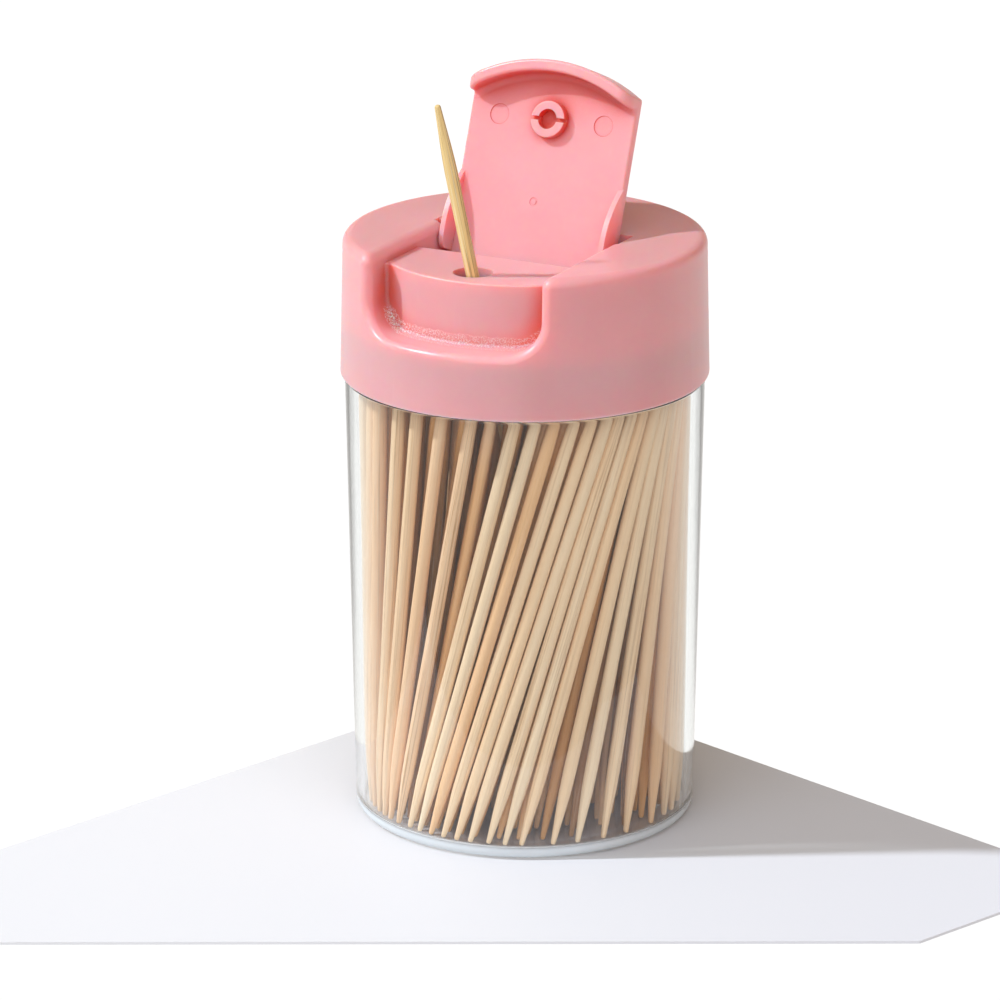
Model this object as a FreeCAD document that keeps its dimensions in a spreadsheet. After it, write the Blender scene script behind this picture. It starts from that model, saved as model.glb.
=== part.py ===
import FreeCAD, Part
import Sketcher
import math
import os

# ----------------------------------------------------------------------------
# Toothpick dispenser: a clear round jar, a press-on lid with a recessed
# dispensing deck, a snap-in flap that swings on two moulded pins, and the
# toothpicks the jar holds.  Millimetres, +Z up, origin at the centre of the
# jar's foot.  The flap is drawn closed and then turned open about its pins.
# ----------------------------------------------------------------------------

V = FreeCAD.Vector
doc = FreeCAD.newDocument("toothpick_dispenser")

sheet = doc.addObject("Spreadsheet::Sheet", "dims")
DIMS = [
    # jar
    ("foot_radius", 23.85), ("body_top_radius", 24.90), ("body_height", 63.20),
    ("body_wall", 1.15), ("floor_thick", 1.40), ("neck_radius", 24.25),
    ("neck_bore", 23.50), ("neck_top", 70.40), ("bead_radius", 24.40),
    ("bead_height", 68.00), ("foot_dish_radius", 19.50), ("foot_dish_depth", 0.40),
    # lid
    ("skirt_radius", 25.50), ("lid_top_radius", 25.00), ("skirt_bottom", 63.40),
    ("lid_top", 83.00), ("skirt_bore", 24.52), ("neck_stop", 70.70),
    ("cavity_radius", 23.60), ("lid_plate", 1.50), ("well_wall", 1.30),
    ("slot_half", 12.85), ("deck_top", 81.00), ("deck_thick", 1.40),
    ("boss_radius", 20.40), ("ledge_top", 72.30), ("ledge_thick", 1.30),
    ("recess_corner", 4.40), ("deck_back", -7.20), ("slot_back", 4.80),
    ("pocket_floor", 76.80), ("pocket_shelf", 78.10), ("shelf_half", 10.95),
    ("notch_half", 14.20), ("notch_front", 0.00),
    ("hole_radius", 2.70), ("hole_centre", -15.20), ("nib_radius", 0.42),
    # flap
    ("flap_half", 12.55), ("flap_thick", 1.85), ("flap_tip_radius", 23.20),
    ("lip_wall", 1.60), ("lip_bottom", 77.90), ("hinge_back", 1.75),
    ("pin_radius", 0.90), ("pin_seat", 0.97), ("pin_end", 14.00),
    ("ear_thick", 0.70), ("ear_low", 77.87), ("ear_back", 2.60), ("heel_radius", 2.90),
    ("lip_corner", 2.30), ("mark_depth", 0.10), ("stub_radius", 2.55),
    ("stub_bore", 1.40), ("stub_bottom", 79.85), ("stub_slit", 0.55),
    ("open_angle", 111.0),
    # toothpicks
    ("pick_length", 69.5), ("pick_radius", 0.90), ("pick_tip", 0.35),
    ("pick_taper", 9.50), ("loose_tip", 0.42),
]
VALUE = {}
for row, (word, number) in enumerate(DIMS, 1):
    sheet.set("A%d" % row, word)
    sheet.set("B%d" % row, repr(number))
    sheet.setAlias("B%d" % row, word)
    VALUE[word] = float(number)
doc.recompute()


class Q:
    """A size with its value and the sheet expression that gives it."""

    def __init__(self, v, t):
        self.v = float(v)
        self.t = t

    def __add__(self, o):
        o = q(o)
        return Q(self.v + o.v, "(%s + %s)" % (self.t, o.t))

    __radd__ = __add__

    def __neg__(self):
        return Q(-self.v, "(0 - %s)" % self.t)

    def __sub__(self, o):
        o = q(o)
        return Q(self.v - o.v, "(%s - %s)" % (self.t, o.t))

    def __rsub__(self, o):
        return q(o) - self

    def __mul__(self, o):
        o = q(o)
        return Q(self.v * o.v, "(%s * %s)" % (self.t, o.t))

    __rmul__ = __mul__

    def __truediv__(self, o):
        o = q(o)
        return Q(self.v / o.v, "(%s / %s)" % (self.t, o.t))


def q(x):
    return x if isinstance(x, Q) else Q(x, "(0 - %r)" % -float(x) if float(x) < 0 else repr(float(x)))


def D(word):
    return Q(VALUE[word], "dims.%s" % word)


def bind(obj, **props):
    for key, val in props.items():
        obj.setExpression(key.replace("_dot_", "."), q(val).t)


def at(obj, x=0, y=0, z=0):
    for axis, val in (("x", x), ("y", y), ("z", z)):
        obj.setExpression("Placement.Base.%s" % axis, q(val).t)


def box(name, x0, x1, y0, y1, z0, z1):
    b = doc.addObject("Part::Box", name)
    bind(b, Length=q(x1) - x0, Width=q(y1) - y0, Height=q(z1) - z0)
    at(b, x0, y0, z0)
    return b


def upright(name, radius, z0, z1, x=0, y=0):
    c = doc.addObject("Part::Cylinder", name)
    bind(c, Radius=radius, Height=q(z1) - z0)
    at(c, x, y, z0)
    return c


def lying_y(name, radius, x, z, y0, y1):
    """Cylinder along +Y from y0 to y1."""
    c = doc.addObject("Part::Cylinder", name)
    c.Placement.Rotation = FreeCAD.Rotation(V(1, 0, 0), -90)
    bind(c, Radius=radius, Height=q(y1) - y0)
    at(c, x, y0, z)
    return c


def lying_x(name, radius, x0, x1, y, z):
    """Cylinder along +X from x0 to x1."""
    c = doc.addObject("Part::Cylinder", name)
    c.Placement.Rotation = FreeCAD.Rotation(V(0, 1, 0), 90)
    bind(c, Radius=radius, Height=q(x1) - x0)
    at(c, x0, y, z)
    return c


def fuse(name, *objs):
    f = doc.addObject("Part::MultiFuse", name)
    f.Shapes = list(objs)
    f.Refine = True
    return f


def cut(name, base, tool):
    c = doc.addObject("Part::Cut", name)
    c.Base, c.Tool = base, tool
    c.Refine = True
    return c


def common(name, a, b):
    c = doc.addObject("Part::MultiCommon", name)
    c.Shapes = [a, b]
    return c


def pick(shape, test):
    """1-based numbers of the edges whose middle point and edge pass a test."""
    out = []
    for i, e in enumerate(shape.Edges, 1):
        m = e.valueAt((e.FirstParameter + e.LastParameter) / 2.0)
        if test(m, e):
            out.append(i)
    return out


def fillet(name, base, groups):
    """Part::Fillet, one feature for each (radius, edge test) in turn."""
    doc.recompute()
    last = base
    for k, (radius, test) in enumerate(groups, 1):
        found = pick(last.Shape, test)
        if not found:
            raise RuntimeError("%s: no edge for radius %s" % (name, radius))
        f = doc.addObject("Part::Fillet", name if k == len(groups) else "%s_%d" % (name, k))
        f.Base = last
        f.Edges = [(i, radius, radius) for i in found]
        doc.recompute()
        if f.Shape.isNull() or not f.Shape.isValid():
            raise RuntimeError("%s failed at radius %s" % (name, radius))
        last = f
    return last


def near(a, b, tol=0.02):
    return abs(a - b) <= tol


def role_plane(body, role):
    for f in body.Origin.OriginFeatures:
        if f.Role == role:
            return f
    raise RuntimeError(role)


def poly_sketch(sk, pts):
    """Closed polygon whose corners are each held by two driven dimensions."""
    n = len(pts)
    for i in range(n):
        a, b = pts[i], pts[(i + 1) % n]
        sk.addGeometry(Part.LineSegment(V(a[0].v, a[1].v, 0), V(b[0].v, b[1].v, 0)), False)
    for i in range(n):
        sk.addConstraint(Sketcher.Constraint("Coincident", i, 2, (i + 1) % n, 1))
    for i, (x, y) in enumerate(pts):
        for kind, val in (("DistanceX", x), ("DistanceY", y)):
            k = sk.addConstraint(Sketcher.Constraint(kind, -1, 1, i, 1, val.v))
            sk.setExpression("Constraints[%d]" % k, val.t)


def revolved(label, pts):
    """PartDesign body: a profile in the XZ plane turned about +Z."""
    body = doc.addObject("PartDesign::Body", label)
    sk = body.newObject("Sketcher::SketchObject", label + "_profile")
    sk.AttachmentSupport = (role_plane(body, "XZ_Plane"), "")
    sk.MapMode = "FlatFace"
    poly_sketch(sk, [(q(x), q(y)) for x, y in pts])
    doc.recompute()
    rev = body.newObject("PartDesign::Revolution", label + "_turned")
    rev.Profile = sk
    rev.ReferenceAxis = (sk, ["V_Axis"])
    rev.Angle = 360.0
    doc.recompute()
    return body, rev


def round_edges(body, name, base, groups):
    """PartDesign fillets, one feature per radius."""
    last = base
    for k, (radius, test) in enumerate(groups):
        found = pick(last.Shape, test)
        if not found:
            raise RuntimeError("%s: no edge for radius %s" % (name, radius))
        f = body.newObject("PartDesign::Fillet", "%s_%d" % (name, k))
        f.Base = (last, ["Edge%d" % i for i in found])
        f.Radius = radius
        doc.recompute()
        if f.Shape.isNull() or not f.Shape.isValid():
            raise RuntimeError("%s_%d failed" % (name, k))
        last = f
    return last


NODES = {}

# ---------------------------------------------------------------- jar
# One clear moulding: dished foot, slightly flared wall, shoulder, and a neck
# with a snap bead that the lid's skirt goes over.
def slope(z):
    """Outer radius of the flared body at a height."""
    return D("foot_radius") + (D("body_top_radius") - D("foot_radius")) * z / D("body_height")


bead_z = D("bead_height")
jar, jar_turned = revolved("jar", [
    (0, D("foot_dish_depth")),
    (D("foot_dish_radius") - 0.6, D("foot_dish_depth")),
    (D("foot_dish_radius"), 0),
    (D("foot_radius"), 0),
    (D("body_top_radius"), D("body_height")),
    (D("neck_radius"), D("body_height")),
    (D("neck_radius"), bead_z - 0.6),
    (D("bead_radius"), bead_z - 0.2),
    (D("bead_radius"), bead_z + 0.2),
    (D("neck_radius"), bead_z + 0.6),
    (D("neck_radius"), D("neck_top")),
    (D("neck_bore"), D("neck_top")),
    (D("neck_bore"), D("body_height") - 1.2),
    (D("foot_radius") - D("body_wall") + 0.05, D("floor_thick")),
    (0, D("floor_thick")),
])
circ = lambda m, e, r, z, tol=0.03: near(math.hypot(m.x, m.y), r, tol) and near(m.z, z, tol) and len(e.Vertexes) <= 2 and hasattr(e.Curve, "Radius")
round_edges(jar, "jar_rounds", jar_turned, [
    (1.2, lambda m, e: circ(m, e, VALUE["foot_radius"], 0.0)),
    (0.5, lambda m, e: circ(m, e, VALUE["foot_radius"] - VALUE["body_wall"] + 0.05, VALUE["floor_thick"])),
    (0.3, lambda m, e: circ(m, e, VALUE["body_top_radius"], VALUE["body_height"])
        or circ(m, e, VALUE["neck_radius"], VALUE["neck_top"])
        or circ(m, e, VALUE["neck_bore"], VALUE["neck_top"])),
])
NODES["jar"] = jar

# ---------------------------------------------------------------- lid
# A thin cap with a well let into its top: side walls, a deck with the
# dispensing hole, a round-nosed boss below it, a thumb recess cut through the
# skirt in front of the boss, a hinge pocket behind the deck, and a seat for
# each hinge pin.
top, slot, wall = D("lid_top"), D("slot_half"), D("well_wall")
envelope = doc.addObject("Part::Cone", "lid_envelope")
bind(envelope, Radius1=D("skirt_radius"), Radius2=D("lid_top_radius"), Height=top - D("skirt_bottom"))
at(envelope, 0, 0, D("skirt_bottom"))
lid_cavity = fuse("lid_cavity",
                  upright("lid_bore", D("skirt_bore"), D("skirt_bottom") - 1, D("neck_stop")),
                  upright("lid_chamber", D("cavity_radius"), D("neck_stop") - 0.5, top - D("lid_plate")))
lid_cap = cut("lid_cap", envelope, lid_cavity)

front_solid = cut("boss_front",
                  box("boss_block", -slot - wall, slot + wall, -26, -10, D("ledge_top") - D("ledge_thick"), top),
                  upright("boss_hollow", D("boss_radius") - wall, 60, D("deck_top") - D("deck_thick")))
well_solid = fuse("well_solid",
                  box("deck_block", -slot - wall, slot + wall, -26, D("slot_back") + wall,
                      D("deck_top") - D("deck_thick"), top),
                  front_solid,
                  box("pocket_block", -slot - wall, slot + wall, D("deck_back") - wall, D("slot_back") + wall,
                      D("pocket_floor") - wall, top),
                  box("notch_block", -D("notch_half") - wall, D("notch_half") + wall,
                      D("notch_front") - wall, D("slot_back") + wall, D("lid_top") - 4.1, top))
well_inside = common("well_inside", well_solid, envelope)
lid_full = fuse("lid_full", lid_cap, well_inside)

corner = D("recess_corner")
recess_prism = fuse("recess_prism",
                    box("recess_wide", -slot, slot, -27, -10, D("ledge_top") + corner, top + 1),
                    box("recess_deep", corner - slot, slot - corner, -27, -10, D("ledge_top"), top + 1),
                    lying_y("recess_round_left", corner, corner - slot, D("ledge_top") + corner, -27, -10),
                    lying_y("recess_round_right", corner, slot - corner, D("ledge_top") + corner, -27, -10))
recess_void = cut("recess_void", recess_prism, upright("boss_nose", D("boss_radius"), 60, D("deck_top")))
axis_y, axis_z = D("hinge_back"), top - D("flap_thick")
lid_void = fuse("lid_void",
                recess_void,
                box("slot_void", -slot, slot, -27, D("deck_back"), D("deck_top"), top + 1),
                box("pocket_void", -slot, slot, D("deck_back") - 0.001, D("slot_back"), D("pocket_shelf"), top + 1),
                box("ear_well_left", -slot, -D("shelf_half"), D("deck_back") - 0.001, D("slot_back"), D("pocket_floor"), top + 1),
                box("ear_well_right", D("shelf_half"), slot, D("deck_back") - 0.001, D("slot_back"), D("pocket_floor"), top + 1),
                box("notch_void", -D("notch_half"), D("notch_half"), D("notch_front"), D("slot_back"), axis_z, top + 1),
                lying_x("pin_seats", D("pin_seat"), -D("notch_half"), D("notch_half"), axis_y, axis_z))
lid_open = cut("lid_open", lid_full, lid_void)
lid_drilled = cut("lid_drilled", lid_open,
                  upright("dispensing_hole", D("hole_radius"), 70, top + 1, 0, D("hole_centre")))


def nib(name, x):
    """Small bump at the end of a notch that keeps the pin down in its seat."""
    s = doc.addObject("Part::Sphere", name)
    bind(s, Radius=D("nib_radius"))
    at(s, x, axis_y, top - 0.52)
    return s


lid_nibbed = fuse("lid_nibbed", lid_drilled, nib("nib_right", D("notch_half")), nib("nib_left", -D("notch_half")))

S = VALUE["slot_half"]
T = VALUE["lid_top"]
LED = VALUE["ledge_top"]
RC = VALUE["recess_corner"]


def outer_r(z):
    return VALUE["skirt_radius"] + (VALUE["lid_top_radius"] - VALUE["skirt_radius"]) * (z - VALUE["skirt_bottom"]) / (T - VALUE["skirt_bottom"])


def on_outer(m):
    return near(math.hypot(m.x, m.y), outer_r(m.z), 0.03)


def recess_rim(m, e):
    return on_outer(m) and m.y < -15 and LED - 0.05 < m.z < T - 0.2 and abs(m.x) < S + 0.05


def boss_foot(m, e):
    """Concave edge where the boss's round nose meets the recess."""
    return near(math.hypot(m.x, m.y), VALUE["boss_radius"], 0.03) and m.y < -14 and LED - 0.05 < m.z < LED + RC - 0.1


def boss_brow(m, e):
    return near(math.hypot(m.x, m.y), VALUE["boss_radius"], 0.03) and near(m.z, VALUE["deck_top"]) and m.y < -14


def top_chain(m, e):
    """Everything on the lid's flat top that meets the slot or the outer wall."""
    if not near(m.z, T):
        return False
    return on_outer(m) or (near(abs(m.x), S) and m.y < VALUE["notch_front"] - 0.5) or (
        m.y < -15 and S - 0.1 < abs(m.x) < S + 2.5)


lid = fillet("lid", lid_nibbed, [
    (0.45, boss_foot),
    (0.25, boss_brow),
    (0.12, lambda m, e: near(m.z, VALUE["deck_top"]) and near(math.hypot(m.x, m.y - VALUE["hole_centre"]), VALUE["hole_radius"], 0.03)),
    (0.3, lambda m, e: near(m.z, VALUE["skirt_bottom"]) and near(math.hypot(m.x, m.y), VALUE["skirt_radius"], 0.03)),
    (1.0, recess_rim),
    (1.35, top_chain),
])
NODES["lid"] = lid

# ---------------------------------------------------------------- flap
# Drawn shut, flush with the lid's top: a flat plate with a rounded nose lip,
# a split stub that plugs the hole, two tapered ears and their pins.
fh = D("flap_half")
zu = top - D("flap_thick")
FT = VALUE["flap_tip_radius"]
FH = VALUE["flap_half"]
ZU = VALUE["lid_top"] - VALUE["flap_thick"]
LB = VALUE["lip_bottom"]
FI = FT - VALUE["lip_wall"]
plate = fillet("flap_plate", common("plate_sharp",
                                    box("plate_block", -fh, fh, -25, axis_y, zu, top),
                                    upright("plate_nose", D("flap_tip_radius"), 70, 90)), [
    (0.45, lambda m, e: near(abs(m.x), FH) and near(math.hypot(m.x, m.y), FT)),
    (0.70, lambda m, e: near(m.z, T) and m.y < axis_y.v - 0.5),
    (0.35, lambda m, e: near(m.z, ZU) and near(abs(m.x), FH))])
lip = fillet("flap_lip", common("lip_sharp",
                                box("lip_block", -fh, fh, -25, -14, D("lip_bottom"), zu + 0.8),
                                cut("lip_ring", upright("lip_outside", D("flap_tip_radius"), 70, 90),
                                    upright("lip_inside", D("flap_tip_radius") - D("lip_wall"), 60, 95))), [
    (VALUE["lip_corner"], lambda m, e: near(m.z, LB) and near(abs(m.x), FH)),
    (0.45, lambda m, e: m.z < ZU + 0.7 and (near(math.hypot(m.x, m.y), FT) or near(math.hypot(m.x, m.y), FI)))])
heel = common("flap_heel",
              box("heel_block", -fh, fh, axis_y - 0.5, axis_y + 4, zu, top),
              lying_x("heel_round", D("heel_radius"), -fh, fh, axis_y, axis_z))
ear_low = D("ear_low")


def ear(name, x0):
    """Thin gusset under the plate: a smooth ridge that falls from the plate to the pin."""
    low = VALUE["ear_low"]
    back = VALUE["hinge_back"] + VALUE["ear_back"]
    under = VALUE["lid_top"] - VALUE["flap_thick"]
    ridge = Part.BSplineCurve()
    ridge.interpolate([V(a, b, 0) for a, b in [
        (-7.05, under + 0.15), (-5.80, low + 2.47), (-4.40, low + 1.60), (-2.10, low + 0.56), (0.00, low + 0.10),
        (VALUE["hinge_back"], low), (back - 1.15, low + 0.12), (back - 0.35, low + 0.55), (back, low + 1.40)]])
    sk = doc.addObject("Sketcher::SketchObject", name + "_profile")
    sk.Placement = FreeCAD.Placement(V(0, 0, 0), FreeCAD.Rotation(V(1, 1, 1), 120))
    sk.addGeometry(ridge, False)
    top_line = under + 0.4
    corners = [V(back, low + 1.40, 0), V(back, top_line, 0), V(-7.05, top_line, 0), V(-7.05, under + 0.15, 0)]
    for p0, p1 in zip(corners, corners[1:]):
        sk.addGeometry(Part.LineSegment(p0, p1), False)
    sk.setExpression("Placement.Base.x", q(x0).t)
    ex = doc.addObject("Part::Extrusion", name)
    ex.Base = sk
    ex.DirMode = "Custom"
    ex.Dir = V(1, 0, 0)
    bind(ex, LengthFwd=D("ear_thick"))
    ex.Solid = True
    return ex


ear_right = ear("ear_right", fh - D("ear_thick"))
ear_left = ear("ear_left", -fh)
pins = fuse("flap_pins",
            lying_x("pin_right", D("pin_radius"), fh - D("ear_thick"), D("pin_end"), axis_y, axis_z),
            lying_x("pin_left", D("pin_radius"), -D("pin_end"), D("ear_thick") - fh, axis_y, axis_z))
stub = cut("flap_stub",
           cut("stub_tube", upright("stub_outside", D("stub_radius"), D("stub_bottom"), zu + 0.4, 0, D("hole_centre")),
               upright("stub_inside", D("stub_bore"), D("stub_bottom") - 1, zu, 0, D("hole_centre"))),
           box("stub_slits", -4, 4, D("hole_centre") - D("stub_slit") / 2, D("hole_centre") + D("stub_slit") / 2,
               D("stub_bottom") - 1, zu - 0.45))
flap_solid = fuse("flap_solid", plate, lip, heel, ear_right, ear_left, stub)
marks = fuse("moulding_marks",
             upright("ejector_right", 1.45, zu - 0.2, zu + D("mark_depth"), 8.0, -15.25),
             upright("ejector_left", 1.45, zu - 0.2, zu + D("mark_depth"), -8.0, -15.25),
             cut("gate_ring", upright("gate_outside", 0.65, zu - 0.2, zu + D("mark_depth"), -0.6, -3.75),
                 upright("gate_inside", 0.35, zu - 0.3, zu + 0.2, -0.6, -3.75)))
flap_raw = cut("flap_raw", flap_solid, marks)
flap_a = fillet("flap_a", flap_raw, [
    (0.9, lambda m, e: near(m.z, ZU) and near(math.hypot(m.x, m.y), FI) and m.y < -10)])
flap_b = fillet("flap_b", flap_a, [
    (0.15, lambda m, e: near(m.z, VALUE["stub_bottom"]) and math.hypot(m.x, m.y - VALUE["hole_centre"]) > VALUE["stub_radius"] - 0.1)])
flap = fuse("flap", flap_b, pins)
NODES["flap"] = flap

# ---------------------------------------------------------------- toothpicks
pr, pt, pl, pp = D("pick_radius"), D("pick_tip"), D("pick_length"), D("pick_taper")
lt = D("loose_tip")
loose, _ = revolved("loose_toothpick", [
    (0, 0), (lt - 0.06, 0), (lt, 0.08), (pr - 0.08, pp * 0.72), (pr, pp), (pr, pl - pp),
    (pr - 0.08, pl - pp * 0.72), (lt, pl - 0.08), (lt - 0.06, pl), (0, pl)])

PR, PT, PL, PP = (VALUE[k] for k in ("pick_radius", "pick_tip", "pick_length", "pick_taper"))


def pick_r(s):
    """Radius of a toothpick at a distance along it."""
    e = min(s, PL - s)
    if e >= PP:
        return PR
    if e >= PP * 0.72:
        return PR - 0.08 + 0.08 * (e - PP * 0.72) / (PP * 0.28)
    return PT + (PR - 0.08 - PT) * max(e - 0.12, 0) / (PP * 0.72 - 0.12)


# The toothpick that stands out of the dispensing hole leans forward in it.
lean = (-0.129, -0.168)
stretch = math.sqrt(1 + lean[0] ** 2 + lean[1] ** 2)
up = V(lean[0] / stretch, lean[1] / stretch, 1 / stretch)
at_deck = V(0.66, VALUE["hole_centre"] - 1.48, VALUE["deck_top"])
loose_top = at_deck + V(lean[0], lean[1], 1) * 23.92
loose_foot = loose_top - up * PL
loose.Placement = FreeCAD.Placement(loose_foot, FreeCAD.Rotation(V(0, 0, 1), up))
NODES["loose_toothpick"] = loose
RETRACT = 31.4      # how far it is pushed back down as the flap shuts
LIFT = 12.0         # travel of the lid as it comes off the neck


class Pick:
    def __init__(self, a, b):
        self.a, self.b = a, b
        d = [b[i] - a[i] for i in range(3)]
        n = math.sqrt(sum(c * c for c in d))
        self.u = [c / n for c in d]

    def point(self, s):
        return [self.a[i] + self.u[i] * s for i in range(3)]


STATIONS = [PL * k / 24.0 for k in range(25)]


def gap(p, r, length=None):
    """Smallest clearance between two toothpicks, sampled along the first."""
    best = 1e9
    for s in STATIONS:
        x = p.point(s)
        w = [x[i] - r.a[i] for i in range(3)]
        t = sum(w[i] * r.u[i] for i in range(3))
        t = min(max(t, 0.0), length or PL)
        d2 = sum((w[i] - r.u[i] * t) ** 2 for i in range(3))
        rr = PR if length else pick_r(t)
        best = min(best, math.sqrt(d2) - pick_r(s) - rr)
    return best


class Dice:
    """Small fixed-seed number source, so the bundle is the same every time."""

    def __init__(self, seed):
        self.n = seed

    def __call__(self):
        self.n = (self.n * 1103515245 + 12345) % 2147483648
        return self.n / 2147483648.0


dice = Dice(20477)
FACE = math.radians(27.3)       # the side where the bundle's twist is strongest
FLOOR = VALUE["floor_thick"] + 0.15


def stand(theta, r_low, r_high, phi):
    """A toothpick on the jar's floor whose top is turned by 2*phi round the axis."""
    lo, hi = theta - phi, theta + phi
    a = [r_low * math.sin(FACE + lo), -r_low * math.cos(FACE + lo)]
    b = [r_high * math.sin(FACE + hi), -r_high * math.cos(FACE + hi)]
    flat = math.hypot(b[0] - a[0], b[1] - a[1])
    rise = math.sqrt(PL ** 2 - flat ** 2)
    return Pick([a[0], a[1], FLOOR], [b[0], b[1], FLOOR + rise])


def twist(theta):
    """Half the turn of a toothpick: strongest at the face, almost upright at the sides and back."""
    if abs(theta) >= math.pi / 2:
        return math.radians(5.0)
    return math.radians(5.0 + 22.5 * math.cos(theta) ** 2 + 2.5 * math.sin(2 * theta))


# Space kept for the loose toothpick: down its own line and up with the lid.
lane_foot = loose_foot - up * (RETRACT + 0.6)
lane_length = PL + RETRACT + 0.6
lane = []
for k in range(11):
    a = [lane_foot.x, lane_foot.y, lane_foot.z + LIFT * k / 10.0]
    lane.append(Pick(a, [a[0] + up.x * lane_length, a[1] + up.y * lane_length, a[2] + up.z * lane_length]))


def ring(r_low, r_high, outer, spread, wander):
    """One layer of toothpicks round the axis, clear of the layer outside it."""
    placed = []
    theta = -math.pi
    while theta < math.pi:
        drift = (dice() - 0.5) * 2 * wander
        setback = (dice() ** 2) * 0.18
        slack = 0.03 + (dice() * spread if dice() < 0.22 else dice() * 0.06)
        step = 0.0
        ok = None
        while theta + step < math.pi:
            p = stand(theta + step, r_low - setback, r_high - setback, twist(theta + step) + drift)
            good = True
            for other in placed[-2:]:
                if gap(p, other) < slack:
                    good = False
                    break
            if good and len(placed) > 3:
                for other in placed[:2]:
                    if gap(p, other) < 0.03:
                        good = False
                        break
            if good:
                for other in outer:
                    if abs(other.a[0] - p.a[0]) + abs(other.a[1] - p.a[1]) < 9 and gap(p, other) < 0.02:
                        good = False
                        break
            if good:
                ok = p
                break
            step += 0.004
        if ok is None:
            break
        placed.append(ok)
        theta += step + 0.004
    return placed


layers = []
outer = []
r_low, r_high = 21.78, 22.50
k = 0
while r_high > 0.9:
    new = ring(r_low, r_high, outer, 0.75 if k == 0 else 0.5, math.radians(1.1 if k == 0 else 0.5))
    layers.append(new)
    outer = new
    r_low -= 2.12
    r_high -= 2.12
    k += 1


def clear_of_lane(p):
    return all(gap(p, w, lane_length) > 0.10 for w in lane)


def pick_solid(p):
    """Turned solid of one toothpick along its own line."""
    u = V(*p.u)
    side = u.cross(V(1, 0, 0))
    side.normalize()
    prof = [(0, 0), (PT - 0.1, 0), (PT, 0.12), (PR - 0.08, PP * 0.72), (PR, PP), (PR, PL - PP),
            (PR - 0.08, PL - PP * 0.72), (PT, PL - 0.12), (PT - 0.1, PL), (0, PL)]
    pts = [V(*p.a) + side * r + u * s for r, s in prof]
    face = Part.Face(Part.makePolygon(pts + [pts[0]]))
    return face.revolve(V(*p.a), u, 360)


def bundle(label, rows):
    solids = []
    for row in rows:
        for p in row:
            if clear_of_lane(p):
                solids.append(pick_solid(p))
    f = doc.addObject("Part::Feature", label)
    f.Shape = Part.makeCompound(solids)
    f.Placement = FreeCAD.Placement()
    NODES[label] = f
    return len(solids)


counts = [
    bundle("toothpicks_outer_layer", layers[0:1]),
    bundle("toothpicks_second_layer", layers[1:2]),
    bundle("toothpicks_middle_layers", layers[2:5]),
    bundle("toothpicks_core", layers[5:]),
]
print("toothpicks", counts, "layers", [len(x) for x in layers])

doc.recompute()
flap.Placement = FreeCAD.Placement(V(0, 0, 0), FreeCAD.Rotation(V(1, 0, 0), -VALUE["open_angle"]),
                                   V(0, VALUE["hinge_back"], VALUE["lid_top"] - VALUE["flap_thick"]))

bad = [o.Name for o in doc.Objects if "Invalid" in o.State or "Error" in o.State]
if bad:
    raise RuntimeError("failed objects: %s" % bad)
for name, obj in NODES.items():
    obj.Label = name
    s = obj.Shape
    if s.isNull() or not s.isValid():
        raise RuntimeError("bad shape: " + name)
    b = s.BoundBox
    print("%-26s solids %3d  volume %9.2f  x %.2f..%.2f  y %.2f..%.2f  z %.2f..%.2f" % (
        name, len(s.Solids), s.Volume, b.XMin, b.XMax, b.YMin, b.YMax, b.ZMin, b.ZMax))

print("pick deck point", tuple(round(c, 3) for c in at_deck), "axis", tuple(round(c, 5) for c in up),
      "top", tuple(round(c, 2) for c in loose_top), "foot", tuple(round(c, 2) for c in loose_foot))
os.makedirs("parts", exist_ok=True)
for name, obj in NODES.items():
    obj.Shape.exportStep("parts/%s.step" % name)
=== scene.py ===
import math

import bmesh
import bpy
import numpy as np
from mathutils import Matrix, Vector


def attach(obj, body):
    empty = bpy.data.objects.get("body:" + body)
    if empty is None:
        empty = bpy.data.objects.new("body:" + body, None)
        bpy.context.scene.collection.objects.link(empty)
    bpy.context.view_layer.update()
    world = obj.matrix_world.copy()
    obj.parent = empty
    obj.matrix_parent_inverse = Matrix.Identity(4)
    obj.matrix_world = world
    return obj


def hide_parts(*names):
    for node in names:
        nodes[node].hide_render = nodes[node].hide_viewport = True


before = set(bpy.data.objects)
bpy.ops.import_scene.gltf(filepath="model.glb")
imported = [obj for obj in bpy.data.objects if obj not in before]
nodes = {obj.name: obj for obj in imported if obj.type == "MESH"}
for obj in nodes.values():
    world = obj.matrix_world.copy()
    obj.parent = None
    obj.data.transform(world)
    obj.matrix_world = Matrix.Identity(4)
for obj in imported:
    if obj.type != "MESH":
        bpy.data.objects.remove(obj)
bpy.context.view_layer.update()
MM = 0.001

# ------------------------------------------------------------------ sizes
# The same numbers as the part's source, in millimetres.
PL, PR, PT, PP = 69.5, 0.90, 0.35, 9.50
LOOSE_TIP = 0.42
LEAN = (-0.129, -0.168)
AT_DECK = Vector((0.66, -16.68, 81.0))
RETRACT, LIFT = 31.4, 12.0


# ------------------------------------------------------------------ material helpers
def material(name):
    m = bpy.data.materials.new(name)
    m.use_nodes = True
    nt = m.node_tree
    nt.nodes.clear()
    out = nt.nodes.new("ShaderNodeOutputMaterial")
    return m, nt, out


def add(nt, kind, **props):
    n = nt.nodes.new(kind)
    for k, v in props.items():
        setattr(n, k, v)
    return n


def math_node(nt, op, a, b=None, clamp=False):
    n = add(nt, "ShaderNodeMath", operation=op, use_clamp=clamp)
    for i, v in enumerate((a, b)):
        if v is None:
            continue
        if isinstance(v, (int, float)):
            n.inputs[i].default_value = v
        else:
            nt.links.new(v, n.inputs[i])
    return n.outputs[0]


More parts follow.
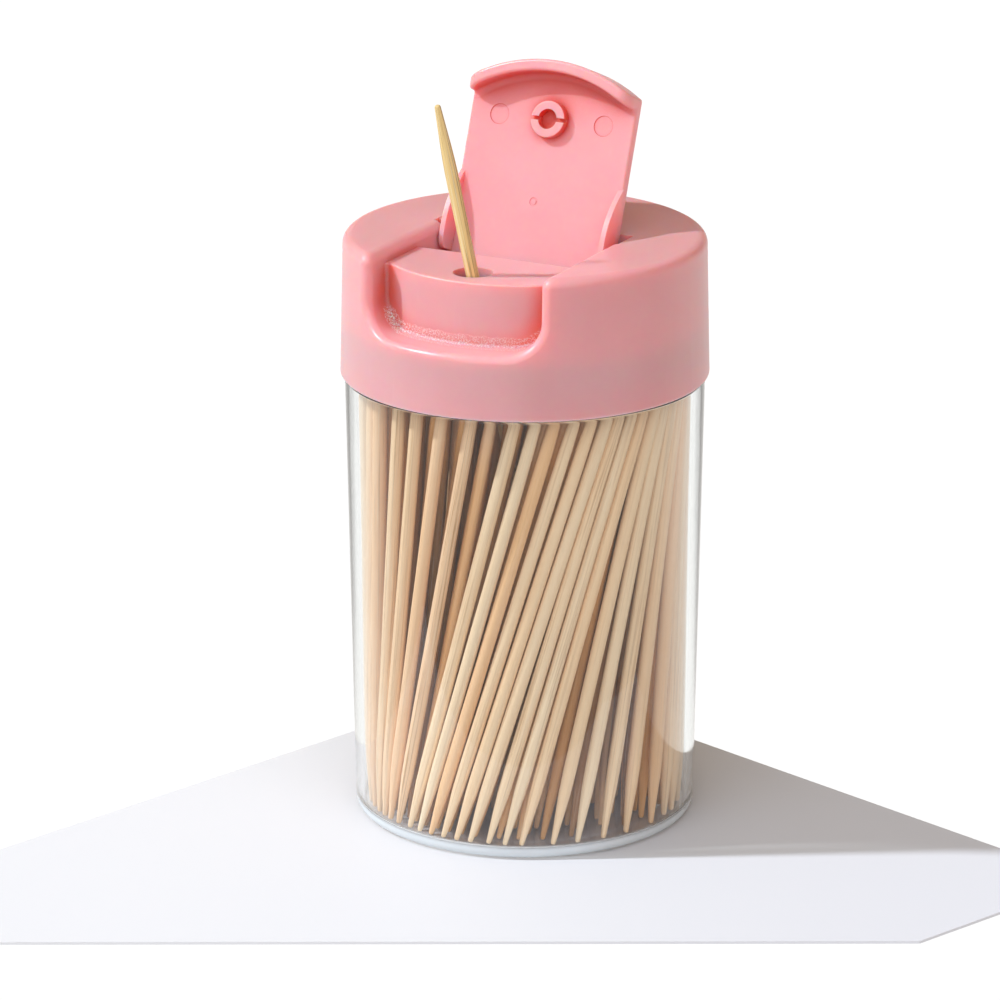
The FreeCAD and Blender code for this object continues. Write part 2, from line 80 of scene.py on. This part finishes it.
def noise(nt, vector, scale, detail=3.0, rough=0.55, distortion=0.0):
    n = add(nt, "ShaderNodeTexNoise")
    n.inputs["Scale"].default_value = scale
    n.inputs["Detail"].default_value = detail
    n.inputs["Roughness"].default_value = rough
    n.inputs["Distortion"].default_value = distortion
    nt.links.new(vector, n.inputs["Vector"])
    return n.outputs["Fac"]


def ramp(nt, fac, stops, interpolation="LINEAR"):
    n = add(nt, "ShaderNodeValToRGB")
    n.color_ramp.interpolation = interpolation
    els = n.color_ramp.elements
    while len(els) < len(stops):
        els.new(0.5)
    for e, (p, c) in zip(els, stops):
        e.position = p
        e.color = (c[0], c[1], c[2], 1.0) if len(c) == 3 else c
    nt.links.new(fac, n.inputs["Fac"])
    return n.outputs["Color"]


def mix(nt, fac, a, b, blend="MIX"):
    n = add(nt, "ShaderNodeMix", data_type="RGBA", blend_type=blend)
    n.clamp_factor = True
    for sock, v in ((n.inputs["Factor"], fac), (n.inputs[6], a), (n.inputs[7], b)):
        if isinstance(v, (int, float)):
            sock.default_value = v
        elif isinstance(v, tuple):
            sock.default_value = (*v, 1.0)
        else:
            nt.links.new(v, sock)
    return n.outputs[2]


def scaled(nt, vector, s, loc=(0, 0, 0)):
    n = add(nt, "ShaderNodeMapping")
    n.inputs["Scale"].default_value = s
    n.inputs["Location"].default_value = loc
    nt.links.new(vector, n.inputs["Vector"])
    return n.outputs["Vector"]


def smooth_range(nt, value, lo, hi, a=0.0, b=1.0):
    n = add(nt, "ShaderNodeMapRange", interpolation_type="SMOOTHSTEP", clamp=True)
    nt.links.new(value, n.inputs["Value"])
    n.inputs["From Min"].default_value = lo
    n.inputs["From Max"].default_value = hi
    n.inputs["To Min"].default_value = a
    n.inputs["To Max"].default_value = b
    return n.outputs["Result"]


def bump(nt, height, distance, strength=1.0, normal=None):
    n = add(nt, "ShaderNodeBump")
    n.inputs["Distance"].default_value = distance
    n.inputs["Strength"].default_value = strength
    nt.links.new(height, n.inputs["Height"])
    if normal is not None:
        nt.links.new(normal, n.inputs["Normal"])
    return n.outputs["Normal"]


# ------------------------------------------------------------------ pink satin plastic
def length2(nt, a, b):
    return math_node(nt, "SQRT", math_node(nt, "ADD", math_node(nt, "MULTIPLY", a, a), math_node(nt, "MULTIPLY", b, b)))


def pink_plastic(name, band):
    m, nt, out = material(name)
    p = add(nt, "ShaderNodeBsdfPrincipled")
    nt.links.new(p.outputs[0], out.inputs["Surface"])
    p.inputs["IOR"].default_value = 1.49
    p.inputs["Subsurface Weight"].default_value = 1.0
    p.inputs["Subsurface Radius"].default_value = (1.0, 0.28, 0.14)
    p.inputs["Subsurface Scale"].default_value = 0.0030
    tc = add(nt, "ShaderNodeTexCoord").outputs["Object"]

    cloud = noise(nt, tc, 90.0, 3.0, 0.6)
    fine = noise(nt, tc, 2600.0, 2.0, 0.6)
    flow = noise(nt, scaled(nt, tc, (900.0, 900.0, 60.0)), 1.0, 3.0, 0.6)
    base = ramp(nt, cloud, [(0.3, (0.825, 0.372, 0.390)), (0.7, (0.848, 0.405, 0.422))])
    base = mix(nt, smooth_range(nt, flow, 0.58, 0.78, 0.0, 0.16), base, (0.89, 0.49, 0.51))

    # painted shade: deep corners of the tinted plastic are painted darker orange-red, standing in for shade and for
    # light that has passed through more of the plastic there
    corner = add(nt, "ShaderNodeAmbientOcclusion", samples=8, only_local=True)
    corner.inputs["Distance"].default_value = 0.0042 if band else 0.0065
    painted_corner_shade = smooth_range(nt, corner.outputs["AO"], 0.30 if band else 0.52, 0.92 if band else 0.99, 1.0, 0.0)
    if not band:
        # the painted shade is strongest under the flap's lip
        up_flap = add(nt, "ShaderNodeSeparateXYZ")
        nt.links.new(tc, up_flap.inputs[0])
        painted_corner_shade = math_node(nt, "MULTIPLY", painted_corner_shade, smooth_range(nt, up_flap.outputs[2], 0.0920, 0.0965, 0.22, 1.0))
    base = mix(nt, painted_corner_shade, base, (0.93, 0.42, 0.30) if band else (0.80, 0.20, 0.13), "MULTIPLY")

    height = math_node(nt, "ADD", math_node(nt, "MULTIPLY", fine, 0.6), math_node(nt, "MULTIPLY", flow, 0.4))
    rough = smooth_range(nt, cloud, 0.3, 0.7, 0.30, 0.37)
    if band:
        # the line of coarse texture in the corner where the boss meets the recess: its bumps are real texture, its
        # glitter is painted glints, white specks that fade towards the right
        sep = add(nt, "ShaderNodeSeparateXYZ")
        nt.links.new(tc, sep.inputs[0])
        x, y, z = sep.outputs
        rad = length2(nt, x, y)
        dx = math_node(nt, "MAXIMUM", math_node(nt, "SUBTRACT", math_node(nt, "ABSOLUTE", x), 0.00845), 0.0)
        dz = math_node(nt, "MINIMUM", math_node(nt, "SUBTRACT", z, 0.0767), 0.0)
        away = math_node(nt, "SUBTRACT", 0.0044, length2(nt, dx, dz))
        wob = math_node(nt, "MULTIPLY", math_node(nt, "SUBTRACT", noise(nt, tc, 1300.0, 2.0, 0.5), 0.5), 0.0007)
        near_corner = math_node(nt, "ADD", away, math_node(nt, "SUBTRACT", rad, 0.0204))
        near_corner = math_node(nt, "ADD", near_corner, wob)
        mask = smooth_range(nt, near_corner, 0.00125, 0.00150, 1.0, 0.0)
        mask = math_node(nt, "MULTIPLY", mask, smooth_range(nt, y, -0.0160, -0.0150, 1.0, 0.0))
        mask = math_node(nt, "MULTIPLY", mask, smooth_range(nt, z, 0.0745, 0.0753, 1.0, 0.0))
        mask = math_node(nt, "MULTIPLY", mask, smooth_range(nt, z, 0.0716, 0.0719, 0.0, 1.0))
        mask = math_node(nt, "MULTIPLY", mask, smooth_range(nt, rad, 0.0221, 0.0224, 1.0, 0.0))
        speck = noise(nt, tc, 5200.0, 1.0, 0.7)
        glint_fade = smooth_range(nt, x, -0.0115, -0.0060, 0.80, 0.42)
        painted_glints = math_node(nt, "MULTIPLY", math_node(nt, "MULTIPLY", smooth_range(nt, speck, 0.48, 0.60, 0.0, 1.0), mask), glint_fade)
        base = mix(nt, painted_glints, base, (1.0, 0.93, 0.94))
        height = math_node(nt, "ADD", height, math_node(nt, "MULTIPLY", math_node(nt, "MULTIPLY", speck, mask), 9.0))
        # the skirt's lower rim, where light leaves the wall
        base = mix(nt, smooth_range(nt, z, 0.06345, 0.06390, 0.55, 0.0), base, (0.92, 0.62, 0.72))
    nt.links.new(base, p.inputs["Base Color"])
    nt.links.new(rough, p.inputs["Roughness"])
    nt.links.new(bump(nt, height, 0.000014, 0.6), p.inputs["Normal"])
    return m


# ------------------------------------------------------------------ clear jar
def clear_plastic():
    m, nt, out = material("clear_jar")
    p = add(nt, "ShaderNodeBsdfPrincipled")
    # painted light: the foot's rounded outer corner is painted pale and made partly opaque, standing in for light
    # carried along inside the foot; the rest is clear
    place = add(nt, "ShaderNodeTexCoord").outputs["Object"]
    sep = add(nt, "ShaderNodeSeparateXYZ")
    nt.links.new(place, sep.inputs[0])
    painted_foot_glow = math_node(nt, "MULTIPLY", smooth_range(nt, sep.outputs[2], 0.0013, 0.0023, 1.0, 0.0),
                      smooth_range(nt, length2(nt, sep.outputs[0], sep.outputs[1]), 0.0230, 0.0234, 0.0, 1.0))
    # painted shade: the hollow under the foot is painted dusky, standing in for the shade of the packed toothpicks
    # above it
    painted_under_shade = math_node(nt, "MULTIPLY", smooth_range(nt, sep.outputs[2], 0.0005, 0.0008, 1.0, 0.0),
                      smooth_range(nt, length2(nt, sep.outputs[0], sep.outputs[1]), 0.0200, 0.0230, 1.0, 0.0))
    shaded_base = mix(nt, painted_under_shade, (1.0, 1.0, 1.0), (0.62, 0.50, 0.52))
    nt.links.new(mix(nt, painted_foot_glow, shaded_base, (0.80, 0.86, 0.89)), p.inputs["Base Color"])
    nt.links.new(math_node(nt, "SUBTRACT", 1.0, math_node(nt, "MULTIPLY", painted_foot_glow, 0.78)), p.inputs["Transmission Weight"])
    p.inputs["IOR"].default_value = 1.50
    p.inputs["Specular IOR Level"].default_value = 0.18
    p.inputs["Roughness"].default_value = 0.0
    clear = add(nt, "ShaderNodeBsdfTransparent")
    edge_on = add(nt, "ShaderNodeLayerWeight")
    edge_on.inputs["Blend"].default_value = 0.5
    held = ramp(nt, edge_on.outputs["Facing"], [(0.0, (0.975, 0.98, 0.975)), (0.50, (0.93, 0.935, 0.93)), (0.65, (0.75, 0.75, 0.74)), (0.80, (0.40, 0.40, 0.39)), (1.0, (0.1, 0.1, 0.1))])
    nt.links.new(held, clear.inputs["Color"])
    path = add(nt, "ShaderNodeLightPath")
    both = add(nt, "ShaderNodeMath", operation="MAXIMUM")
    nt.links.new(path.outputs["Is Shadow Ray"], both.inputs[0])
    nt.links.new(path.outputs["Is Diffuse Ray"], both.inputs[1])
    ms = add(nt, "ShaderNodeMixShader")
    nt.links.new(both.outputs[0], ms.inputs[0])
    nt.links.new(p.outputs[0], ms.inputs[1])
    nt.links.new(clear.outputs[0], ms.inputs[2])
    nt.links.new(ms.outputs[0], out.inputs["Surface"])
    soak = add(nt, "ShaderNodeVolumeAbsorption")
    soak.inputs["Color"].default_value = (0.78, 0.86, 0.79, 1.0)
    soak.inputs["Density"].default_value = 50.0
    nt.links.new(soak.outputs[0], out.inputs["Volume"])
    tc = add(nt, "ShaderNodeTexCoord").outputs["Object"]
    ripple = noise(nt, scaled(nt, tc, (60.0, 60.0, 22.0)), 1.0, 2.0, 0.5)
    nt.links.new(bump(nt, ripple, 0.00005, 0.30), p.inputs["Normal"])
    return m


# ------------------------------------------------------------------ bamboo
def bamboo(name, stops, streak, strength, pale, pale_strength, depth):
    """Wood whose grain runs along each toothpick: 'grain' holds each point's place on its own toothpick."""
    m, nt, out = material(name)
    p = add(nt, "ShaderNodeBsdfPrincipled")
    nt.links.new(p.outputs[0], out.inputs["Surface"])
    p.inputs["IOR"].default_value = 1.45
    p.inputs["Specular IOR Level"].default_value = 0.32
    g = add(nt, "ShaderNodeAttribute", attribute_name="grain", attribute_type="GEOMETRY").outputs["Vector"]
    t = add(nt, "ShaderNodeAttribute", attribute_name="tone_and_shade", attribute_type="GEOMETRY").outputs["Fac"]
    w = add(nt, "ShaderNodeAttribute", attribute_name="streaks", attribute_type="GEOMETRY").outputs["Fac"]
    fibre = noise(nt, scaled(nt, g, (3.6, 3.6, 0.045)), 1.0, 4.0, 0.62)
    thin = noise(nt, scaled(nt, g, (8.5, 8.5, 0.10)), 1.0, 2.0, 0.6)
    patch = noise(nt, scaled(nt, g, (0.7, 0.7, 0.05)), 1.0, 2.0, 0.5)
    key = math_node(nt, "ADD", t, math_node(nt, "MULTIPLY", math_node(nt, "SUBTRACT", patch, 0.5), 0.30))
    base = ramp(nt, key, stops)
    dark = math_node(nt, "MULTIPLY", smooth_range(nt, fibre, 0.48, 0.70, 0.0, strength), w)
    base = mix(nt, dark, base, streak)
    light = math_node(nt, "MULTIPLY", smooth_range(nt, thin, 0.52, 0.74, 0.0, pale_strength), w)
    base = mix(nt, light, base, pale)
    nt.links.new(base, p.inputs["Base Color"])
    nt.links.new(smooth_range(nt, fibre, 0.3, 0.7, 0.44, 0.62), p.inputs["Roughness"])
    h = math_node(nt, "ADD", math_node(nt, "MULTIPLY", fibre, 0.6), math_node(nt, "MULTIPLY", thin, 0.4))
    nt.links.new(bump(nt, h, depth, 0.8), p.inputs["Normal"])
    return m


pink_lid = pink_plastic("pink_lid", True)
pink_flap = pink_plastic("pink_flap", False)
jar_mat = clear_plastic()
wood = bamboo("bamboo", [(0.0, (0.98, 0.79, 0.55)), (0.23, (0.98, 0.70, 0.43)), (0.40, (0.97, 0.65, 0.40)),
                         (0.58, (0.93, 0.57, 0.29)), (0.78, (0.83, 0.44, 0.16)), (1.0, (0.40, 0.19, 0.07))],
              (0.46, 0.23, 0.08), 0.80, (0.98, 0.86, 0.66), 0.55, 0.00007)
gold = bamboo("golden_bamboo", [(0.0, (0.92, 0.69, 0.32)), (1.0, (0.82, 0.55, 0.19))],
              (0.17, 0.08, 0.012), 0.95, (0.98, 0.88, 0.62), 0.85, 0.00012)


# ------------------------------------------------------------------ toothpicks
class Pick:
    def __init__(self, a, b):
        self.a, self.b = a, b
        d = [b[i] - a[i] for i in range(3)]
        n = math.sqrt(sum(c * c for c in d))
        self.u = [c / n for c in d]

    def point(self, s):
        return [self.a[i] + self.u[i] * s for i in range(3)]


def pick_r(s):
    e = min(s, PL - s)
    if e >= PP:
        return PR
    if e >= PP * 0.72:
        return PR - 0.08 + 0.08 * (e - PP * 0.72) / (PP * 0.28)
    return PT + (PR - 0.08 - PT) * max(e - 0.12, 0) / (PP * 0.72 - 0.12)


STATIONS = [PL * k / 24.0 for k in range(25)]


def gap(p, r, length=None):
    best = 1e9
    for s in STATIONS:
        x = p.point(s)
        w = [x[i] - r.a[i] for i in range(3)]
        t = sum(w[i] * r.u[i] for i in range(3))
        t = min(max(t, 0.0), length or PL)
        d2 = sum((w[i] - r.u[i] * t) ** 2 for i in range(3))
        rr = PR if length else pick_r(t)
        best = min(best, math.sqrt(d2) - pick_r(s) - rr)
    return best


class Dice:
    def __init__(self, seed):
        self.n = seed

    def __call__(self):
        self.n = (self.n * 1103515245 + 12345) % 2147483648
        return self.n / 2147483648.0


dice = Dice(20477)
FACE = math.radians(27.3)
FLOOR = 1.40 + 0.15
stretch = math.sqrt(1 + LEAN[0] ** 2 + LEAN[1] ** 2)
up = Vector((LEAN[0] / stretch, LEAN[1] / stretch, 1 / stretch))
loose_top = AT_DECK + Vector((LEAN[0], LEAN[1], 1)) * 23.92
loose_foot = loose_top - up * PL


def stand(theta, r_low, r_high, phi):
    lo, hi = theta - phi, theta + phi
    a = [r_low * math.sin(FACE + lo), -r_low * math.cos(FACE + lo)]
    b = [r_high * math.sin(FACE + hi), -r_high * math.cos(FACE + hi)]
    flat = math.hypot(b[0] - a[0], b[1] - a[1])
    rise = math.sqrt(PL ** 2 - flat ** 2)
    return Pick([a[0], a[1], FLOOR], [b[0], b[1], FLOOR + rise])


def twist(theta):
    if abs(theta) >= math.pi / 2:
        return math.radians(5.0)
    return math.radians(5.0 + 22.5 * math.cos(theta) ** 2 + 2.5 * math.sin(2 * theta))


lane_foot = loose_foot - up * (RETRACT + 0.6)
lane_length = PL + RETRACT + 0.6
lane = []
for k in range(11):
    a = [lane_foot.x, lane_foot.y, lane_foot.z + LIFT * k / 10.0]
    lane.append(Pick(a, [a[0] + up.x * lane_length, a[1] + up.y * lane_length, a[2] + up.z * lane_length]))


def ring(r_low, r_high, outer, spread, wander):
    placed = []
    theta = -math.pi
    while theta < math.pi:
        drift = (dice() - 0.5) * 2 * wander
        setback = (dice() ** 2) * 0.18
        slack = 0.03 + (dice() * spread if dice() < 0.22 else dice() * 0.06)
        step = 0.0
        ok = None
        while theta + step < math.pi:
            p = stand(theta + step, r_low - setback, r_high - setback, twist(theta + step) + drift)
            good = True
            for other in placed[-2:]:
                if gap(p, other) < slack:
                    good = False
                    break
            if good and len(placed) > 3:
                for other in placed[:2]:
                    if gap(p, other) < 0.03:
                        good = False
                        break
            if good:
                for other in outer:
                    if abs(other.a[0] - p.a[0]) + abs(other.a[1] - p.a[1]) < 9 and gap(p, other) < 0.02:
                        good = False
                        break
            if good:
                ok = p
                break
            step += 0.004
        if ok is None:
            break
        placed.append(ok)
        theta += step + 0.004
    return placed


layers = []
outer = []
r_low, r_high = 21.78, 22.50
k = 0
while r_high > 0.9:
    new = ring(r_low, r_high, outer, 0.75 if k == 0 else 0.5, math.radians(1.1 if k == 0 else 0.5))
    layers.append(new)
    outer = new
    r_low -= 2.12
    r_high -= 2.12
    k += 1


def clear_of_lane(p):
    return all(gap(p, w, lane_length) > 0.10 for w in lane)


def stick_mesh(picks, seed, segments, rings, tones=None, tip=PT, painted_inner_shade=0.0):
    """One mesh of many toothpicks, slightly uneven in section, with each one's own grain, tone and streaks, and painted
    shade below the tops of inner layers.
    """
    rng = np.random.default_rng(seed)
    s_tip = np.array([0.0, 0.06, 0.16, 0.34])
    s_mid = np.linspace(0.9, PL - 0.9, rings)
    st = np.concatenate([s_tip, s_mid, (PL - s_tip)[::-1]])
    co, faces, grain, tone_and_shade, streaks = [], [], [], [], []
    ang = np.linspace(0, 2 * np.pi, segments, endpoint=False)
    for i, p in enumerate(picks):
        a, u = np.array(p.a), np.array(p.u)
        side = np.cross(u, [1.0, 0.0, 0.0])
        side /= np.linalg.norm(side)
        other = np.cross(u, side)
        base = len(co)
        ph = rng.uniform(0, 2 * np.pi, 4)
        amp = rng.uniform(0.0, 0.035, 4)
        facet = 1.0 - amp[0] * (1 + np.cos(2 * ang + ph[0])) / 2 - amp[1] * (1 + np.cos(3 * ang + ph[1])) / 2 \
            - amp[2] * (1 + np.cos(5 * ang + ph[2])) / 2
        off = rng.uniform(-40, 40, 3)
        value = rng.beta(1.8, 2.4) if tones is None else tones[i]
        lined = 0.18 + 0.82 * rng.uniform() ** 1.6 if tones is None else 1.0
        slow = rng.uniform(0, 2 * np.pi)
        pts = []
        for j, s in enumerate(st):
            e = min(s, PL - s)
            r = pick_r(s)
            if tip != PT and e < PP * 0.72:
                r = tip + (PR - 0.08 - tip) * max(e - 0.08, 0) / (PP * 0.72 - 0.08)
            if e < 0.34:
                r *= (0.55, 0.80, 0.94, 1.0)[int(np.argmin(np.abs(s_tip - e)))]
            # painted shade: inner layers are darkened below their tops, standing in for the shade of the layers around
            # them
            tone_and_shade += [value * 0.8 + painted_inner_shade * min(max((PL - 6.0 - s) / 8.0, 0.0), 1.0)] * segments
            sway = 1.0 - 0.018 * (1 + math.sin(s * 0.35 + slow)) / 2
            q = a + u * s + np.outer(np.cos(ang), side) * r * sway * facet[:, None] + np.outer(np.sin(ang), other) * r * sway * facet[:, None]
            pts.append(q)
            for c, sn in zip(np.cos(ang), np.sin(ang)):
                grain.append((c * PR + off[0], sn * PR + off[1], s + off[2]))
        co.append(np.concatenate(pts))
        streaks += [lined] * (len(st) * segments)
        b0 = sum(len(c) for c in co[:-1])
        for j in range(len(st) - 1):
            for m in range(segments):
                n = (m + 1) % segments
                faces.append((b0 + j * segments + m, b0 + j * segments + n, b0 + (j + 1) * segments + n, b0 + (j + 1) * segments + m))
        faces.append(tuple(b0 + m for m in reversed(range(segments))))
        last = b0 + (len(st) - 1) * segments
        faces.append(tuple(last + m for m in range(segments)))
    co = np.concatenate(co) * MM
    return co, faces, np.array(grain, np.float32), np.array(tone_and_shade, np.float32), np.array(streaks, np.float32)


def stick_object(name, picks, seed, segments, rings, mat, body, cad, tones=None, tip=PT, painted_inner_shade=0.0):
    co, faces, grain, tone_and_shade, streaks = stick_mesh(picks, seed, segments, rings, tones, tip, painted_inner_shade)
    me = bpy.data.meshes.new(name)
    me.from_pydata([tuple(c) for c in co], [], faces)
    at = me.attributes.new("grain", "FLOAT_VECTOR", "POINT")
    at.data.foreach_set("vector", grain.ravel())
    at = me.attributes.new("tone_and_shade", "FLOAT", "POINT")
    at.data.foreach_set("value", tone_and_shade)
    at = me.attributes.new("streaks", "FLOAT", "POINT")
    at.data.foreach_set("value", streaks)
    me.shade_smooth()
    me.materials.append(mat)
    me.update()
    ob = bpy.data.objects.new(name, me)
    bpy.context.scene.collection.objects.link(ob)
    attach(ob, body)
    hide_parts(cad)
    return ob


groups = [("toothpicks_outer_layer", layers[0:1], 24, 22), ("toothpicks_second_layer", layers[1:2], 20, 14),
          ("toothpicks_middle_layers", layers[2:5], 12, 8), ("toothpicks_core", layers[5:], 12, 8)]
for i, (name, rows, seg, rings) in enumerate(groups):
    picks = [p for row in rows for p in row if clear_of_lane(p)]
    stick_object("sticks_" + name.split("_", 1)[1], picks, 100 + i, seg, rings, wood, "jar", name,
                 painted_inner_shade=0.0 if i == 0 else 0.45)
loose = Pick(list(loose_foot), list(loose_top))
stick_object("stick_loose", [loose], 7, 32, 40, gold, "loose_toothpick", "loose_toothpick", [0.4], LOOSE_TIP)


# ------------------------------------------------------------------ jar
def rounded(corners, per_turn=40):
    """Open outline whose corners are rounded by their own radius."""
    out = [corners[0][:2]]
    for i in range(1, len(corners) - 1):
        x, z, r = corners[i]
        if not r:
            out.append((x, z))
            continue
        c = Vector((x, z))
        a = (Vector(corners[i - 1][:2]) - c).normalized()
        b = (Vector(corners[i + 1][:2]) - c).normalized()
        half = a.angle(b) / 2
        centre = c + (a + b).normalized() * (r / math.sin(half))
        start, end = c + a * (r / math.tan(half)), c + b * (r / math.tan(half))
        t0 = math.atan2(start.y - centre.y, start.x - centre.x)
        turn = (math.atan2(end.y - centre.y, end.x - centre.x) - t0 + math.pi) % (2 * math.pi) - math.pi
        n = max(4, int(abs(turn) / (2 * math.pi) * per_turn))
        out += [(centre.x + r * math.cos(t0 + turn * k / n), centre.y + r * math.sin(t0 + turn * k / n)) for k in range(n + 1)]
    out.append(corners[-1][:2])
    return out


def jar_piece(mat):
    outline = rounded([
        (0, 0.4, 0), (18.9, 0.4, 0.15), (19.5, 0, 0.15), (23.85, 0, 1.2), (24.90, 63.2, 0.3), (24.25, 63.2, 0.1),
        (24.25, 67.4, 0), (24.40, 67.8, 0.1), (24.40, 68.2, 0.1), (24.25, 68.6, 0), (24.25, 70.4, 0.3), (23.50, 70.4, 0.3),
        (23.50, 62.0, 0), (22.75, 1.4, 0.5), (0, 1.4, 0)])
    turns = 320
    co, faces = [], []
    rings = []
    for r, z in outline:
        if r < 1e-6:
            rings.append([len(co)])
            co.append((0, 0, z * MM))
        else:
            rings.append(list(range(len(co), len(co) + turns)))
            co += [(r * MM * math.cos(2 * math.pi * k / turns), r * MM * math.sin(2 * math.pi * k / turns), z * MM) for k in range(turns)]
    for a, b in zip(rings, rings[1:]):
        for k in range(turns):
            n = (k + 1) % turns
            if len(a) == 1:
                faces.append((a[0], b[n], b[k]))
            elif len(b) == 1:
                faces.append((a[k], a[n], b[0]))
            else:
                faces.append((a[k], a[n], b[n], b[k]))
    me = bpy.data.meshes.new("jar_clear")
    me.from_pydata(co, [], faces)
    bm = bmesh.new()
    bm.from_mesh(me)
    bmesh.ops.recalc_face_normals(bm, faces=bm.faces)
    bm.to_mesh(me)
    bm.free()
    me.shade_smooth()
    me.set_sharp_from_angle(angle=math.radians(28))
    me.materials.append(mat)
    ob = bpy.data.objects.new("jar_clear", me)
    bpy.context.scene.collection.objects.link(ob)
    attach(ob, "jar")
    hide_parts("jar")
    return ob


jar_piece(jar_mat)


# ------------------------------------------------------------------ carried-over nodes
def dress(node, mat):
    me = nodes[node].data
    if not me.materials:
        me.materials.append(mat)
    for i in range(len(me.materials)):
        nodes[node].material_slots[i].material = mat


dress("lid", pink_lid)
dress("flap", pink_flap)

# ------------------------------------------------------------------ floor, light, camera
scene = bpy.context.scene


def floor_slab():
    corners = [(-24.1, 43.8), (82.4, 8.1), (70.3, -22.2), (-37.4, -78.7), (-70.0, -95.8)]
    me = bpy.data.meshes.new("floor")
    me.from_pydata([(x * MM, y * MM, -0.00003) for x, y in corners] + [(x * MM, y * MM, -0.0004) for x, y in corners], [],
                   [tuple(range(5))[::-1], tuple(range(5, 10))] + [(i, (i + 1) % 5, 5 + (i + 1) % 5, 5 + i) for i in range(5)])
    ob = bpy.data.objects.new("floor", me)
    scene.collection.objects.link(ob)
    m, nt, out = material("floor")
    p = add(nt, "ShaderNodeBsdfPrincipled")
    place = add(nt, "ShaderNodeSeparateXYZ")
    nt.links.new(add(nt, "ShaderNodeTexCoord").outputs["Object"], place.inputs[0])
    # painted shade: the floor is painted darker towards the right, standing in for light falling off across it
    darker_rightwards = math_node(nt, "ADD", math_node(nt, "MULTIPLY", place.outputs[0], 0.90), math_node(nt, "MULTIPLY", place.outputs[1], 0.44))
    nt.links.new(mix(nt, smooth_range(nt, darker_rightwards, -0.065, 0.070, 0.0, 1.0), (0.850, 0.870, 0.900), (0.765, 0.780, 0.825)), p.inputs["Base Color"])
    p.inputs["Roughness"].default_value = 0.6
    nt.links.new(p.outputs[0], out.inputs["Surface"])
    me.materials.append(m)
    bm = bmesh.new()
    bm.from_mesh(me)
    bmesh.ops.recalc_face_normals(bm, faces=bm.faces)
    bm.to_mesh(me)
    bm.free()
    return ob


floor_slab()

world = bpy.data.worlds.new("studio")
scene.world = world
world.use_nodes = True
wn = world.node_tree
wn.nodes.clear()
wout = wn.nodes.new("ShaderNodeOutputWorld")
bg = wn.nodes.new("ShaderNodeBackground")
wtc = wn.nodes.new("ShaderNodeTexCoord")
sep = wn.nodes.new("ShaderNodeSeparateXYZ")
wn.links.new(wtc.outputs["Generated"], sep.inputs[0])
high = ramp(wn, smooth_range(wn, sep.outputs[2], -0.12, 0.35, 0.0, 1.0),
            [(0.0, (0.98, 0.96, 0.93)), (0.35, (0.54, 0.475, 0.40)), (1.0, (0.315, 0.272, 0.205))])


def facing(x, y, z):
    """How far a direction of the surroundings points along (x, y, z)."""
    flat = math_node(wn, "ADD", math_node(wn, "MULTIPLY", sep.outputs[0], x), math_node(wn, "MULTIPLY", sep.outputs[1], y))
    return math_node(wn, "ADD", flat, math_node(wn, "MULTIPLY", sep.outputs[2], z))


# warm behind, warmer towards the right, a broad cool window ahead, a dark table top in front of it
right = math_node(wn, "MULTIPLY", smooth_range(wn, facing(0.95, -0.32, 0.0), 0.10, 0.95, 0.0, 1.0),
                  smooth_range(wn, sep.outputs[2], -0.16, 0.0, 0.0, 1.0))
high = mix(wn, right, high, (0.92, 0.74, 0.64), "MULTIPLY")
behind = math_node(wn, "MULTIPLY", smooth_range(wn, facing(-0.4586, 0.8886, 0.0), 0.0, 0.8, 0.0, 1.0),
                   smooth_range(wn, sep.outputs[2], -0.02, 0.18, 0.0, 1.0))
high = mix(wn, behind, high, (0.95, 0.80, 0.62), "MULTIPLY")
window = math_node(wn, "MULTIPLY", smooth_range(wn, facing(0.28, -0.76, 0.585), 0.58, 0.92, 0.0, 1.0),
                   smooth_range(wn, sep.outputs[2], 0.02, 0.20, 0.0, 1.0))
high = mix(wn, window, high, (1.45, 1.50, 1.62))
table = math_node(wn, "MULTIPLY", smooth_range(wn, facing(0.4586, -0.8886, 0.0), -0.45, 0.10, 0.0, 1.0),
                  math_node(wn, "MULTIPLY", smooth_range(wn, sep.outputs[2], -0.22, -0.12, 1.0, 0.0),
                            smooth_range(wn, sep.outputs[2], -0.50, -0.40, 0.0, 1.0)))
high = mix(wn, table, high, (0.20, 0.15, 0.12))
plain = wn.nodes.new("ShaderNodeLightPath")
seen = math_node(wn, "MAXIMUM", plain.outputs["Is Camera Ray"], plain.outputs["Is Transmission Ray"])
sky = mix(wn, seen, high, (1.04, 1.04, 1.04))
wn.links.new(sky, bg.inputs["Color"])
bg.inputs["Strength"].default_value = 1.0
wn.links.new(bg.outputs[0], wout.inputs["Surface"])

sun = bpy.data.lights.new("key", "SUN")
sun.energy = 2.7
sun.angle = math.radians(2.4)
sun.color = (0.875, 0.925, 1.0)
key = bpy.data.objects.new("key", sun)
scene.collection.objects.link(key)
towards = Vector((-0.6065, -0.3733, 0.702)).normalized()
key.rotation_euler = towards.to_track_quat("Z", "Y").to_euler()

cam = bpy.data.cameras.new("camera")
cam.lens = 180.79
cam.sensor_width = 36.0
cam.clip_start, cam.clip_end = 0.05, 20.0
camera = bpy.data.objects.new("camera", cam)
scene.collection.objects.link(camera)
camera.matrix_world = Matrix((
    (0.88633, -0.142416, 0.440609, 0.305323),
    (0.463053, 0.274133, -0.842872, -0.591552),
    (-0.000747, 0.951088, 0.308919, 0.260578),
    (0, 0, 0, 1)))
scene.camera = camera
scene.cycles.max_bounces = 20
scene.cycles.transmission_bounces = 20
scene.cycles.transparent_max_bounces = 16
scene.view_settings.view_transform = "Standard"
